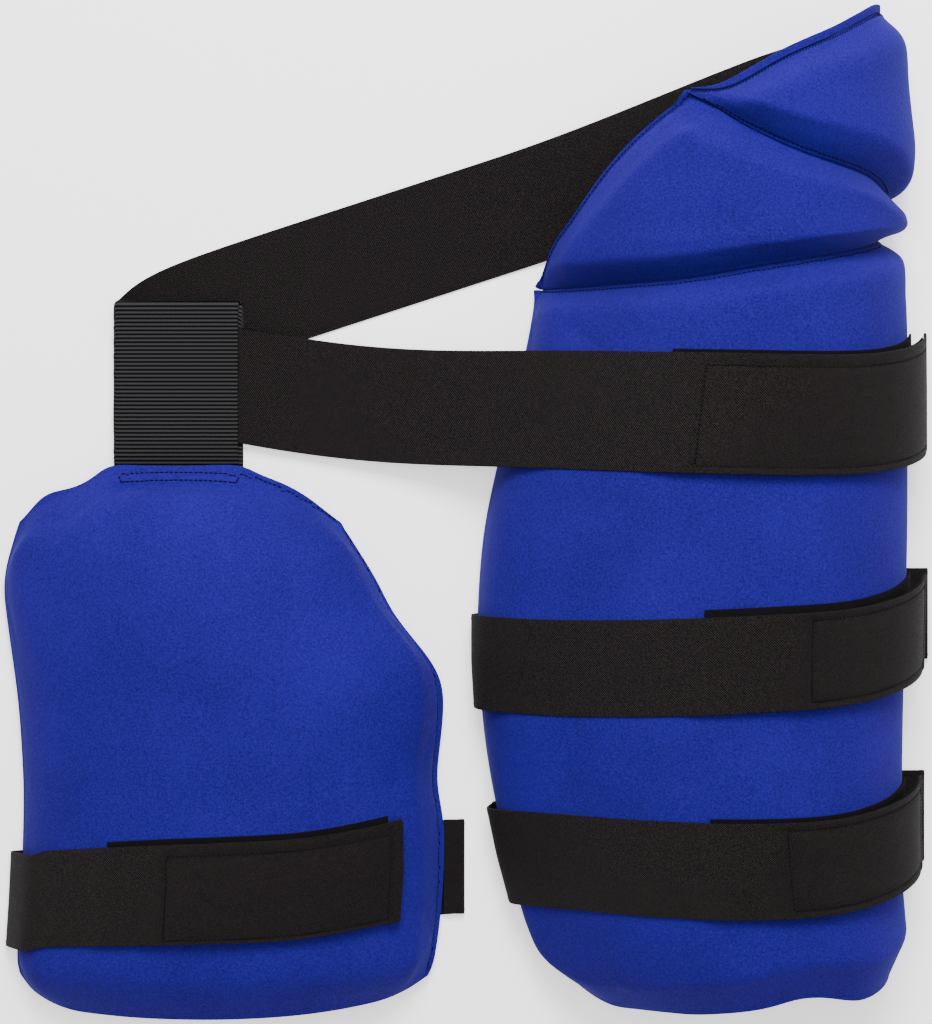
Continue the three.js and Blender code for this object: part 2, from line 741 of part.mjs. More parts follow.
// The belt: from its free end over the outer pad, down through the keeper, round the keeper's back layer, and
// straight up behind the hip flap, where it is sewn to the lining.
function beltGeometry() {
  const front = frontRibs(waistBelt, "strap", waistBelt.end, beltLeavesPad, waistBelt.steps);
  const turnRadius = (beltInKeeper - floorTop) / 2;
  const turnX = neck.x + keeperSkew - keeperWidth / 2 - 3.5 * gap + turnRadius;
  const exitX = neck.x + keeperSkew + keeperWidth / 2 + beltExitReach;
  const exitY = beltTurnY - beltExitDrop;
  const heading = new THREE.Vector3(exitX - turnX, exitY - beltTurnY, 0).normalize();
  const exitAside = new THREE.Vector3(-heading.y, heading.x, 0);
  const exit = straightRib(new THREE.Vector3(exitX, exitY, beltInKeeper), exitAside, beltWidth);
  const lastFront = front[front.length - 1];
  const leaving = directions(front[front.length - 2], lastFront);
  const inward = exit.map(() => heading.clone().negate());
  const toKeeper = leadingRibs(lastFront, leaving, exit, inward, 0.42, 12);
  const turnYs = spread(beltTurnY, beltTurnY + turnRise, 7);
  const turn = spread(90, -90, 7).map((degrees, i) => {
    const angle = THREE.MathUtils.degToRad(degrees);
    const middle = new THREE.Vector3(
      turnX - turnRadius * Math.cos(angle),
      turnYs[i],
      floorTop + turnRadius + turnRadius * Math.sin(angle),
    );
    return straightRib(middle, hipward, beltWidth);
  });
  const seam = outerLining.point(hipSeam.across, hipSeam.along);
  const slope = Math.tan(THREE.MathUtils.degToRad(beltAngle));
  const middleAt = (x) => {
    const line = seam.y + slope * (x - seam.x);
    const fade = Math.exp(-(x - turnX) / beltSettle);
    return line - (seam.y + slope * (turnX - seam.x) - beltTurnY - turnRise) * fade;
  };
  const asideAt = (x) => {
    const fade = Math.exp(-(x - turnX) / (2 * beltSettle));
    const angle = THREE.MathUtils.degToRad(beltAngle) * (1 - fade);
    return new THREE.Vector3(-Math.sin(angle), Math.cos(angle), 0);
  };
  const flatRib = (x) => straightRib(new THREE.Vector3(x, middleAt(x), floorTop), asideAt(x), beltWidth);
  const onFloor = floorRuns.map((run) => flatRib(turnX + run));
  const touchdown = flatRib(touchdownX);
  const underFlap = spread(seam.x - hipSeamLap, seam.x, 7).map((x) =>
    flatRib(x).map((point) => outerLining.below(point.x, point.y, bendGap)),
  );
  const flatWay = touchdown.map(() => new THREE.Vector3(1, slope, 0).normalize());
  const rise = leadingRibs(touchdown, flatWay, underFlap[0], directions(touchdown, underFlap[0]), 0.35, 10);
  const ribs = [...front, ...toKeeper, exit, ...turn, ...onFloor, touchdown, ...rise, ...underFlap];
  return bandGeometry(ribs, elasticThickness);
}

addPiece("outer_thigh_pad", panelGeometry(thighPanel, panelSteps.thigh), royalBlue);
addPiece("hip_gusset_pad", panelGeometry(gussetPanel, panelSteps.gusset), royalBlue);
addPiece("hip_flap_pad", panelGeometry(hipPanel, panelSteps.hip), royalBlue);
addPiece("hip_edge_welt", weltGeometry(), royalBlue);
addPiece("inner_thigh_pad", panelGeometry(innerPanel, panelSteps.inner), royalBlue);
addPiece("keeper_loop", keeperGeometry(), blackWebbing);
addPiece("waist_belt", beltGeometry(), blackElastic);
addTapes("belt", waistBelt);
addLegStrap("upper_leg", upperLegStrap);
addLegStrap("lower_leg", lowerLegStrap);
addLegStrap("inner_leg", innerLegStrap);

// The origin is the middle of the guard's footprint, on the surface that it lies on.
const extent = new THREE.Box3().setFromObject(guard);
const middle = extent.getCenter(new THREE.Vector3());
guard.position.set(-middle.x, -middle.y, -extent.min.z);

export default guard;
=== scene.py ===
import math

import bpy
import numpy as np
from mathutils import Matrix, Vector
from mathutils.bvhtree import BVHTree
from mathutils.kdtree import KDTree


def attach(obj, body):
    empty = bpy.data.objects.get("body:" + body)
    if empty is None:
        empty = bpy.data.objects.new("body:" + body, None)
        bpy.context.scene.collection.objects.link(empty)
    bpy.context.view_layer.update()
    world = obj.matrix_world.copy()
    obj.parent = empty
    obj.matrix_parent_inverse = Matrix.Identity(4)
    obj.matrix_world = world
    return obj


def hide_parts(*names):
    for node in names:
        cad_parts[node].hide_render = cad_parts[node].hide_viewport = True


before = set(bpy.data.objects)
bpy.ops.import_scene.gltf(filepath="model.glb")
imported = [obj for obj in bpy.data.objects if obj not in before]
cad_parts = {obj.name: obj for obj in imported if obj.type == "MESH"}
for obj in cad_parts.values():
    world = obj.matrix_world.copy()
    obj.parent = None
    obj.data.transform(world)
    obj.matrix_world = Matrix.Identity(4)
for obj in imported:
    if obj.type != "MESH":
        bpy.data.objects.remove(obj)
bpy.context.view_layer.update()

mm = 0.001
print("frame loaded")

# Camera: straight above the guard
cameraView = {"place": (-0.00044, -0.00051, 1.6), "lens": 100.16, "sensor": 36}

bpy.ops.object.camera_add(location=cameraView["place"], rotation=(0, 0, 0))
camera = bpy.context.object
camera.name = "viewCamera"
camera.data.lens = cameraView["lens"]
camera.data.sensor_width = cameraView["sensor"]
bpy.context.scene.camera = camera
print("camera placed")


# Working with one piece at a time
def pick(piece):
    if bpy.context.object and bpy.context.object.mode != "OBJECT":
        bpy.ops.object.mode_set(mode="OBJECT")
    bpy.ops.object.select_all(action="DESELECT")
    piece.select_set(True)
    bpy.context.view_layer.objects.active = piece


def applyModifier(piece, kind, **settings):
    pick(piece)
    modifier = piece.modifiers.new(kind.lower(), kind)
    for key, value in settings.items():
        setattr(modifier, key, value)
    bpy.ops.object.modifier_apply(modifier=modifier.name)


def subdivideSmooth(piece, levels):
    applyModifier(piece, "SUBSURF", levels=levels, render_levels=levels)


# Subdivides so that the smooth surface still passes through the piece's own points
def subdivideThrough(piece, levels, hold, turns=3):
    target = pointsOf(piece)
    modifier = piece.modifiers.new("smooth", "SUBSURF")
    modifier.levels = modifier.render_levels = levels
    control = target.copy()
    for _ in range(turns):
        evaluated = piece.evaluated_get(bpy.context.evaluated_depsgraph_get())
        control += (target - pointsOf(evaluated)[: len(target)]) * hold[:, None]
        setPoints(piece, control)
        bpy.context.view_layer.update()
    pick(piece)
    bpy.ops.object.modifier_apply(modifier=modifier.name)


def pointsOf(piece):
    flat = np.empty(len(piece.data.vertices) * 3)
    piece.data.vertices.foreach_get("co", flat)
    return flat.reshape(-1, 3)


def normalsOf(piece):
    flat = np.empty(len(piece.data.vertices) * 3, np.float32)
    piece.data.vertex_normals.foreach_get("vector", flat)
    return flat.reshape(-1, 3).astype(float)


def setPoints(piece, points):
    piece.data.vertices.foreach_set("co", np.asarray(points, np.float32).ravel())
    piece.data.update()


def readMark(piece, name):
    values = np.empty(len(piece.data.vertices), np.float32)
    piece.data.attributes[name].data.foreach_get("value", values)
    return values.astype(float)


def writeMark(piece, name, values):
    mark = piece.data.attributes.get(name) or piece.data.attributes.new(name, "FLOAT", "POINT")
    mark.data.foreach_set("value", np.asarray(values, np.float32))


# A merged copy of a CAD node, as quads. The pairing of triangles is tried at several strengths.
cadCopy = {"mergeWithin": 0.00002, "regularities": (1.5, 2, 1)}


def copyOf(node, name):
    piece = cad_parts[node].copy()
    piece.name = name
    piece.parent = None
    for key in list(piece.keys()):
        del piece[key]
    bpy.context.scene.collection.objects.link(piece)
    for regularity in cadCopy["regularities"]:
        piece.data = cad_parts[node].data.copy()
        piece.data.name = name
        piece.data.materials.clear()
        pick(piece)
        bpy.ops.object.mode_set(mode="EDIT")
        bpy.ops.mesh.select_all(action="SELECT")
        bpy.ops.mesh.remove_doubles(threshold=cadCopy["mergeWithin"])
        bpy.ops.mesh.tris_convert_to_quads(
            face_threshold=math.pi, shape_threshold=math.pi, topology_influence=regularity
        )
        bpy.ops.object.mode_set(mode="OBJECT")
        if all(len(face.vertices) == 4 for face in piece.data.polygons):
            break
    return piece


# The two sheets of a slab, each read as rows of vertex numbers. The first row starts at the
# slab's corner nearest the start point, and the rows follow one another in the onward direction.
def sheetsOf(piece, start, onward):
    mesh = piece.data
    near = {vertex.index: set() for vertex in mesh.vertices}
    facesAt = {vertex.index: set() for vertex in mesh.vertices}
    for edge in mesh.edges:
        one, other = edge.vertices
        near[one].add(other)
        near[other].add(one)
    for face in mesh.polygons:
        for index in face.vertices:
            facesAt[index].add(face.index)
    corners = [index for index in near if len(near[index]) == 3]
    if len(corners) != 8:
        raise ValueError(f"{piece.name}: {len(corners)} corners")

    # Straight on from one point through the next, as far as the slab's edge
    def walk(first, second):
        path = [first, second]
        while len(near[path[-1]]) == 4:
            last, here = path[-2:]
            behind = facesAt[last] & facesAt[here]
            ahead = [index for index in near[here] if index != last and not facesAt[index] & behind]
            path.append(ahead[0])
        return path

    place = [vertex.co.copy() for vertex in mesh.vertices]

    def alongOnward(path):
        return (place[path[1]] - place[path[0]]).normalized().dot(Vector(onward))

    # The sheet that starts at a corner. Its partner is the corner across the slab's thickness.
    def grid(corner, partner):
        paths = [walk(corner, index) for index in near[corner] if index != partner]
        paths.sort(key=alongOnward, reverse=True)
        column, row = paths
        rows = [row] + [[index] + [None] * (len(row) - 1) for index in column[1:]]
        for down in range(1, len(column)):
            for across in range(1, len(row)):
                known = [rows[down - 1][across - 1], rows[down - 1][across], rows[down][across - 1]]
                face = set.intersection(*[facesAt[index] for index in known]).pop()
                rows[down][across] = (set(mesh.polygons[face].vertices) - set(known)).pop()
        return np.array(rows)

    first = min(corners, key=lambda index: (place[index] - Vector(start)).length)
    partners = [index for index in near[first] if len(walk(first, index)) == 2]
    partner = min(partners, key=lambda index: (place[index] - place[first]).length)
    return [grid(first, partner), grid(partner, first)]


# Foam pads
foam = {"edge": 0.0045, "cadPower": 1.7, "seamHold": 0.003, "cornerFreedom": 0.8}
crease = {"depth": 0.0024, "reach": 0.005, "room": 0.02, "closed": 0.3, "liningFrom": 0.002}
tip = {"reach": 0.06, "width": 0.0075, "round": 0.6}  # narrower, rounder facets where a hinge ends


# How full the CAD foam is at a distance from a sewn side
def sideRamp(distance, width):
    return 1 - (1 - np.minimum(distance / width, 1)) ** foam["cadPower"]


# The same for a cut facet: a straight slope that turns level over a rounded corner
def facetRamp(distance, width, roundness):
    rise = distance / width
    blend = np.clip(0.5 + 0.5 * (1 - rise) / roundness, 0, 1)
    return (1 - blend) + rise * blend - roundness * blend * (1 - blend)


# Writes each point's distance from the four sewn sides, measured on the lining.
# The plan keeps the rows and the distances for the seams.
def markSides(piece, plan):
    sheets = sheetsOf(piece, plan["start"], (0, 1, 0))
    points = pointsOf(piece)
    sheets.sort(key=lambda sheet: points[sheet.ravel(), 2].mean())
    lining, front = sheets
    on = points[lining]
    distances = {
        "knee": np.linalg.norm(on - on[:1], axis=2),
        "hip": np.linalg.norm(on - on[-1:], axis=2),
        "left": np.linalg.norm(on - on[:, :1], axis=2),
        "right": np.linalg.norm(on - on[:, -1:], axis=2),
    }
    for side, values in distances.items():
        mark = np.zeros(len(points))
        for sheet in sheets:
            mark[sheet.ravel()] = values.ravel()
        writeMark(piece, side, mark)
    mark = np.zeros(len(points))
    mark[front.ravel()] = 1
    writeMark(piece, "front", mark)
    mark = np.zeros(len(points))
    for sheet in sheets:
        mark[sheet[[0, 0, -1, -1], [0, -1, 0, -1]]] = foam["cornerFreedom"]
    writeMark(piece, "corner", mark)
    plan["rows"] = {"lining": points[lining], "front": points[front]}
    plan["distances"] = distances


# Turns the even bevels of the CAD foam into the cut facets of the real one
def shapeFoam(piece, plan):
    cadFull, newFull = 1, 1
    for side, cut in plan["sides"].items():
        distance = readMark(piece, side)
        cad = sideRamp(distance, cut["cad"])
        width, roundness = cut["width"], cut["round"]
        if side in plan["tipSides"]:
            near = np.clip(1 - readMark(piece, "right") / tip["reach"], 0, 1)
            near = near * near * (3 - 2 * near)
            width = width + (tip["width"] - width) * near
            roundness = roundness + (tip["round"] - roundness) * near
        facet = np.clip(facetRamp(distance, width, roundness), 0, 1)
        cadFull = cadFull * cad
        newFull = newFull * (cad + (facet - cad) * cut["crisp"])
    lift = (plan["thickness"] - foam["edge"]) * (newFull - cadFull) * readMark(piece, "front")
    setPoints(piece, pointsOf(piece) + normalsOf(piece) * lift[:, None])


# Pulls the sewn edge of a hinge down into a crease, less where the panel runs out to a point
def pressSide(piece, side):
    distance = readMark(piece, side)
    panelWidth = distance + readMark(piece, {"knee": "hip", "hip": "knee"}[side])
    room = np.clip(panelWidth / crease["room"] - crease["closed"], 0, 1)
    points, normals, front = pointsOf(piece), normalsOf(piece), readMark(piece, "front")
    deep = crease["depth"] * room * front * np.exp(-((distance / crease["reach"]) ** 2))
    lining = np.flatnonzero((front < 0.01) & (distance > crease["liningFrom"]))
    tree = KDTree(len(lining))
    for index in lining:
        tree.insert(points[index], int(index))
    tree.balance()
    for index in np.flatnonzero(deep > 0.00002):
        points[index] += normals[tree.find(points[index])[1]] * deep[index]
    setPoints(piece, points)


# Rounds a corner that the cover's seam runs round
def softenCorner(piece, plan):
    soft = plan["softCorner"]
    corner = plan["rows"]["lining"][soft["row"], soft["column"]]
    near = np.exp(-((np.linalg.norm(pointsOf(piece) - corner, axis=1) / soft["reach"]) ** 2))
    group = piece.vertex_groups.new(name="soft")
    for index in np.flatnonzero(near > 0.02):
        group.add([int(index)], float(near[index]), "REPLACE")
    applyModifier(piece, "SMOOTH", factor=0.5, iterations=soft["turns"], vertex_group="soft")
    piece.vertex_groups.clear()


# Cloth under pressure: the lining and the sewn edges stay, the front swells a little
coverCloth = {
    "quality": 4, "mass": 0.3, "tension_stiffness": 12, "compression_stiffness": 12, "shear_stiffness": 6,
    "bending_stiffness": 0.6, "use_pressure": True, "uniform_pressure_force": 4,
}
swellFrames = 20


def swell(piece, plan):
    pick(piece)
    before = pointsOf(piece)
    nearest = np.minimum.reduce([readMark(piece, side) for side in plan["sides"]])
    free = (readMark(piece, "front") > 0.99) & (nearest > foam["seamHold"])
    group = piece.vertex_groups.new(name="held")
    group.add([int(index) for index in np.flatnonzero(~free)], 1, "REPLACE")
    modifier = piece.modifiers.new("swell", "CLOTH")
    for key, value in coverCloth.items():
        setattr(modifier.settings, key, value)
    modifier.settings.vertex_group_mass = "held"
    modifier.settings.effector_weights.gravity = 0
    modifier.collision_settings.use_collision = False
    modifier.point_cache.frame_start = 1
    modifier.point_cache.frame_end = swellFrames
    for step in range(1, swellFrames + 1):
        bpy.context.scene.frame_set(step)
    bpy.ops.object.modifier_apply(modifier=modifier.name)
    piece.vertex_groups.clear()
    moved = pointsOf(piece) - before
    size = np.linalg.norm(moved, axis=1, keepdims=True)
    keep = plan["swellCap"] * np.tanh(size / plan["swellCap"]) / np.maximum(size, 1e-9)
    setPoints(piece, before + moved * keep)
    bpy.context.scene.frame_set(1)
    print(f"{piece.name} swelled by up to {size.max() / mm:.1f} mm, kept {(size * keep).max() / mm:.1f} mm")


def makePad(node, name, plan):
    piece = copyOf(node, name)
    markSides(piece, plan)
    subdivideThrough(piece, 2, 1 - readMark(piece, "corner"))
    shapeFoam(piece, plan)
    swell(piece, plan)
    subdivideSmooth(piece, 1)
    for side in plan["hinges"]:
        pressSide(piece, side)
    if "softCorner" in plan:
        softenCorner(piece, plan)
    pick(piece)
    bpy.ops.object.shade_smooth()
    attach(piece, "root")
    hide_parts(node)
    print(f"{name} made, {len(piece.data.polygons)} faces")
    return piece


# A line over a pad's sheet, at an even distance inside one of its sewn sides
def insetLine(plan, side, inset, sheet="front"):
    rows, distance = plan["rows"][sheet], plan["distances"][side]
    if side in ("left", "right"):
        rows, distance = rows.transpose(1, 0, 2), distance.T
    line = []
    for column in range(rows.shape[1]):
        order = np.argsort(distance[:, column])
        reach = distance[order, column]
        line.append([np.interp(inset, reach, rows[order, column, axis]) for axis in range(3)])
    return np.array(line)


# Presses a sewn line into a soft piece, on the sheet that the mark names
def pressLine(piece, line, depth, reach, mark="front"):
    points = pointsOf(piece)
    dense = resample(line, reach / 2)
    low, high = dense.min(axis=0) - 3 * reach, dense.max(axis=0) + 3 * reach
    inBox = (points > low).all(axis=1) & (points < high).all(axis=1)
    near = np.flatnonzero(inBox & (readMark(piece, mark) > 0.5))
    away = np.array([np.linalg.norm(dense - point, axis=1).min() for point in points[near]])
    points[near] -= normalsOf(piece)[near] * (depth * np.exp(-((away / reach) ** 2)))[:, None]
    setPoints(piece, points)


# Evenly spaced points on a line
def resample(line, pitch):
    line = np.asarray(line)
    run = np.concatenate([[0], np.cumsum(np.linalg.norm(np.diff(line, axis=0), axis=1))])
    at = np.linspace(0, run[-1], max(int(run[-1] / pitch), 1) + 1)
    return np.stack([np.interp(at, run, line[:, axis]) for axis in range(3)], axis=1)


# One sewn side: how wide the CAD bevel and the real facet are, in mm, how round the facet's
# corner is, and how much of the facet replaces the bevel
def cutSide(cad, width, roundness, crisp):
    return {"cad": cad * mm, "width": width * mm, "round": roundness, "crisp": crisp}


thighPlan = {
    "start": (0.0, -0.24, 0.0), "thickness": 0.018, "swellCap": 0.001, "hinges": ["hip"], "tipSides": ["hip"],
    "sides": {
        "knee": cutSide(31, 23, 0.07, 1), "hip": cutSide(17, 14, 0.1, 1),
        "left": cutSide(22, 26, 0.3, 0.7), "right": cutSide(22, 24, 0.4, 0.5),
    },
}
gussetPlan = {
    "start": (0.04, 0.13, 0.0), "thickness": 0.018, "swellCap": 0.0008, "hinges": ["knee", "hip"],
    "tipSides": ["knee", "hip"],
    "sides": {
        "knee": cutSide(17, 13, 0.08, 1), "hip": cutSide(17, 18, 0.08, 1),
        "left": cutSide(22, 26, 0.08, 1), "right": cutSide(22, 22, 0.5, 0.3),
    },
}
hipPlan = {
    "start": (0.13, 0.22, 0.0), "thickness": 0.018, "swellCap": 0.0008, "hinges": ["knee"],
    "tipSides": ["knee"],
    "sides": {
        "knee": cutSide(22, 17, 0.08, 1), "hip": cutSide(17, 15, 0.3, 0.7),
        "left": cutSide(22, 22, 0.5, 0.3), "right": cutSide(22, 22, 0.4, 0.4),
    },
}
innerPlan = {
    "start": (-0.25, -0.27, 0.0), "thickness": 0.015, "swellCap": 0.001, "hinges": [], "tipSides": [],
    "softCorner": {"row": -1, "column": -1, "reach": 0.028, "turns": 220},
    "sides": {
        "knee": cutSide(26, 23, 0.07, 1), "hip": cutSide(24, 30, 0.09, 1),
        "left": cutSide(20, 20, 0.3, 0.7), "right": cutSide(20, 22, 0.1, 1),
    },
}
pads = {
    "thighPad": makePad("outer_thigh_pad", "thighPad", thighPlan),
    "gussetPad": makePad("hip_gusset_pad", "gussetPad", gussetPlan),
    "hipPad": makePad("hip_flap_pad", "hipPad", hipPlan),
    "innerPad": makePad("inner_thigh_pad", "innerPad", innerPlan),
}


# Woven bands
# Each gets a UV map in metres: along it from its first end, and across it.
# The plan keeps the outer face's rows and the lengths for the seams.
def markBand(piece, plan):
    points = pointsOf(piece)
    sheets = sheetsOf(piece, plan["start"], plan["onward"])
    sheets.sort(key=lambda sheet: points[sheet[0], 2].mean())
    inner, outer = sheets
    middle = points[outer][:, len(outer[0]) // 2]
    along = np.concatenate([[0], np.cumsum(np.linalg.norm(np.diff(middle, axis=0), axis=1))])
    rib = points[outer][0]
    across = np.concatenate([[0], np.cumsum(np.linalg.norm(np.diff(rib, axis=0), axis=1))])
    width = across[-1]
    place = np.zeros((len(points), 2))
    isOuter = np.zeros(len(points))
    for sheet in (inner, outer):
        place[sheet.ravel(), 0] = np.repeat(along, len(across))
        place[sheet.ravel(), 1] = np.tile(across - width / 2, len(along))
    isOuter[outer.ravel()] = 1
    layer = piece.data.uv_layers.get("band") or piece.data.uv_layers.new(name="band")
    loops = np.empty(len(piece.data.loops), int)
    piece.data.loops.foreach_get("vertex_index", loops)
    layer.data.foreach_set("uv", place[loops].astype(np.float32).ravel())
    writeMark(piece, "along", place[:, 0])
    writeMark(piece, "across", place[:, 1])
    writeMark(piece, "outer", isOuter)
    plan.update(rows=points[outer], along=along, width=width, length=along[-1])


# Cuts every cell of both faces lengthwise, so that a band can be bevelled and smoothed evenly
def cutAcross(piece, cuts):
    pick(piece)
    along = readMark(piece, "along")
    across = readMark(piece, "across")
    outer = readMark(piece, "outer")
    for item in (*piece.data.vertices, *piece.data.edges, *piece.data.polygons):
        item.select = False
    for edge in piece.data.edges:
        one, other = edge.vertices
        level = abs(along[one] - along[other]) < 1e-7 and outer[one] == outer[other]
        edge.select = bool(level and across[one] != across[other])
    bpy.context.tool_settings.mesh_select_mode = (False, True, False)
    bpy.ops.object.mode_set(mode="EDIT")
    bpy.ops.mesh.subdivide(number_cuts=cuts)
    bpy.ops.object.mode_set(mode="OBJECT")


def makeBand(node, name, plan):
    piece = copyOf(node, name)
    markBand(piece, plan)
    cutAcross(piece, plan["cuts"])
    sharp = {"limit_method": "ANGLE", "angle_limit": math.radians(62)}
    applyModifier(piece, "BEVEL", width=plan["edge"], segments=2, **sharp)
    subdivideSmooth(piece, plan["levels"])
    shapeBand(piece, plan)
    pick(piece)
    bpy.ops.object.shade_smooth()
    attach(piece, "root")
    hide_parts(node)
    print(f"{name} made, {len(piece.data.polygons)} faces, {plan['length'] / mm:.0f} mm long")
    return piece


# Relief on the outer face: a folded hem at the free end, a fine selvedge along both sides, ribs
def shapeBand(piece, plan):
    along = readMark(piece, "along")
    lift = np.zeros(len(along))
    if "hem" in plan:
        hem = plan["hem"]
        lift += hem["rise"] * np.clip((hem["length"] - along) / hem["step"], 0, 1)
    if "selvedge" in plan:
        selvedge = plan["selvedge"]
        fromEdge = plan["width"] / 2 - np.abs(readMark(piece, "across"))
        lift += selvedge["rise"] * np.exp(-(((fromEdge - selvedge["inset"]) / selvedge["reach"]) ** 2))
    if "ribs" in plan:
        ribs = plan["ribs"]
        lift += ribs["rise"] * (np.abs(np.sin(math.pi * along / ribs["pitch"])) - ribs["sink"])
    outer = readMark(piece, "outer") > 0.6
    setPoints(piece, pointsOf(piece) + normalsOf(piece) * (lift * outer)[:, None])


elastic = {
    "slot": "black_elastic", "edge": 0.0005, "onward": (-1, 0, 0), "cuts": 3, "levels": 2,
    "hem": {"length": 0.0085, "rise": 0.0007, "step": 0.0012},
    "selvedge": {"rise": 0.00018, "inset": 0.0016, "reach": 0.0009},
}
beltPlan = {**elastic, "start": (0.26, 0.03, 0.06), "hem": {**elastic["hem"], "rise": 0.0003}}
upperPlan = {**elastic, "start": (0.26, -0.11, 0.06)}
lowerPlan = {**elastic, "start": (0.26, -0.21, 0.06)}
innerStrapPlan = {**elastic, "start": (-0.02, -0.23, 0.03)}
keeperPlan = {
    "slot": "black_webbing", "edge": 0.0006, "onward": (0, 1, 0), "start": (-0.19, 0.0, 0.01),
    "ribs": {"pitch": 0.0022, "rise": 0.0007, "sink": 0.6}, "cuts": 1, "levels": 4,
}
bands = {
    "waistBelt": makeBand("waist_belt", "waistBelt", beltPlan),
    "upperStrap": makeBand("upper_leg_strap", "upperStrap", upperPlan),
    "lowerStrap": makeBand("lower_leg_strap", "lowerStrap", lowerPlan),
    "innerStrap": makeBand("inner_leg_strap", "innerStrap", innerStrapPlan),
    "keeperLoop": makeBand("keeper_loop", "keeperLoop", keeperPlan),
}

# A hook tape and a pile patch under each strap's end
tape = {"edge": 0.0003, "onward": (-1, 0, 0), "cuts": 1, "levels": 2}
tapeStarts = {
    "belt": ("belt", (0.26, 0.03, 0.05)), "upper": ("upper_leg", (0.26, -0.11, 0.05)),
    "lower": ("lower_leg", (0.26, -0.21, 0.05)), "inner": ("inner_leg", (-0.02, -0.23, 0.03)),
}
hookPlans, tapes = {}, []
for strap, (node, start) in tapeStarts.items():
    hookPlans[strap] = {**tape, "slot": "hook_tape", "start": start}
    tapes.append(makeBand(f"{node}_hook_tape", f"{strap}HookTape", hookPlans[strap]))
    patchPlan = {**tape, "slot": "pile_tape", "start": start}
    tapes.append(makeBand(f"{node}_loop_patch", f"{strap}PilePatch", patchPlan))


# The welt narrows at the hinge and is cut square at the wing
def taperWelt(piece, plan):
    rows, along = plan["rows"], readMark(piece, "along")
    share = np.clip((plan["length"] - along) / plan["taper"], 0, 1)
    share = share * share * (3 - 2 * share)
    middle = rows[len(rows) // 2]
    sewn = rows[:, 0] if middle[0, 1] < middle[-1, 1] else rows[:, -1]
    base = np.stack([np.interp(along, plan["along"], sewn[:, axis]) for axis in range(3)], axis=1)
    offset = pointsOf(piece) - base
    offset[:, :2] *= (plan["end"] + (1 - plan["end"]) * share)[:, None]
    setPoints(piece, base + offset)


weltPlan = {
    "slot": "blue_fabric", "edge": 0.0007, "onward": (-1, 0, 0), "start": (0.23, 0.27, 0.03), "cuts": 1,
    "levels": 2, "taper": 0.03, "end": 0.15,
}
welt = makeBand("hip_edge_welt", "hipWelt", weltPlan)
taperWelt(welt, weltPlan)


# Hinges and seams
# Points on a line at shares of a panel's side. The panel's own columns lie closer at both ends.
def atShares(line, shares):
    own = (1 - np.cos(np.linspace(0, math.pi, len(line)))) / 2
    return np.stack([np.interp(shares, own, line[:, axis]) for axis in range(3)], axis=1)


# A tape behind a hinge: it joins the linings of both panels. Its ends are shares of their sides.
hinge = {
    "reach": 0.003, "lift": (0.0006, 0.0012, 0.0012, 0.0006), "thickness": 0.0005, "cells": 90,
    "ends": (0, 0.97),
}


def hingeTape(name, lower, upper):
    reach, count = hinge["reach"], hinge["cells"] + 1
    lines = [
        insetLine(lower, "hip", reach, "lining"), insetLine(lower, "hip", 0, "lining"),
        insetLine(upper, "knee", 0, "lining"), insetLine(upper, "knee", reach, "lining"),
    ]
    lines = np.array([atShares(line, np.linspace(*hinge["ends"], count)) for line in lines])
    lines[1:3] = lines[1:3].mean(axis=0)
    lines[:, :, 2] += np.array(hinge["lift"])[:, None]
    bpy.ops.mesh.primitive_grid_add(x_subdivisions=count - 1, y_subdivisions=3, size=1)
    piece = bpy.context.object
    piece.name = piece.data.name = name
    flat = pointsOf(piece).round(6)
    order = np.lexsort((flat[:, 0], flat[:, 1]))
    placed = np.zeros_like(flat)
    placed[order] = lines.reshape(-1, 3)
    setPoints(piece, placed)
    applyModifier(piece, "SOLIDIFY", thickness=hinge["thickness"], offset=0)
    subdivideSmooth(piece, 1)
    pick(piece)
    bpy.ops.object.shade_smooth()
    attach(piece, "root")
    return piece


hingeTapes = [
    hingeTape("lowerHingeTape", thighPlan, gussetPlan),
    hingeTape("upperHingeTape", gussetPlan, hipPlan),
]
print("hinges closed")


def surfaceOf(pieces):
    corners, faces = [], []
    for piece in pieces:
        shift = len(corners)
        corners += [tuple(point) for point in pointsOf(piece)]
        faces += [tuple(index + shift for index in face.vertices) for face in piece.data.polygons]
    return BVHTree.FromPolygons(corners, faces)


# One stitch, modelled once along X
bpy.ops.mesh.primitive_uv_sphere_add(segments=8, ring_count=5, radius=1)
oneStitch = bpy.context.object
oneStitch.name = "oneStitch"
bpy.ops.object.mode_set(mode="EDIT")
bpy.ops.mesh.select_all(action="SELECT")
bpy.ops.transform.rotate(value=math.pi / 2, orient_axis="Y", center_override=(0, 0, 0))
bpy.ops.object.mode_set(mode="OBJECT")
bpy.ops.object.shade_smooth()


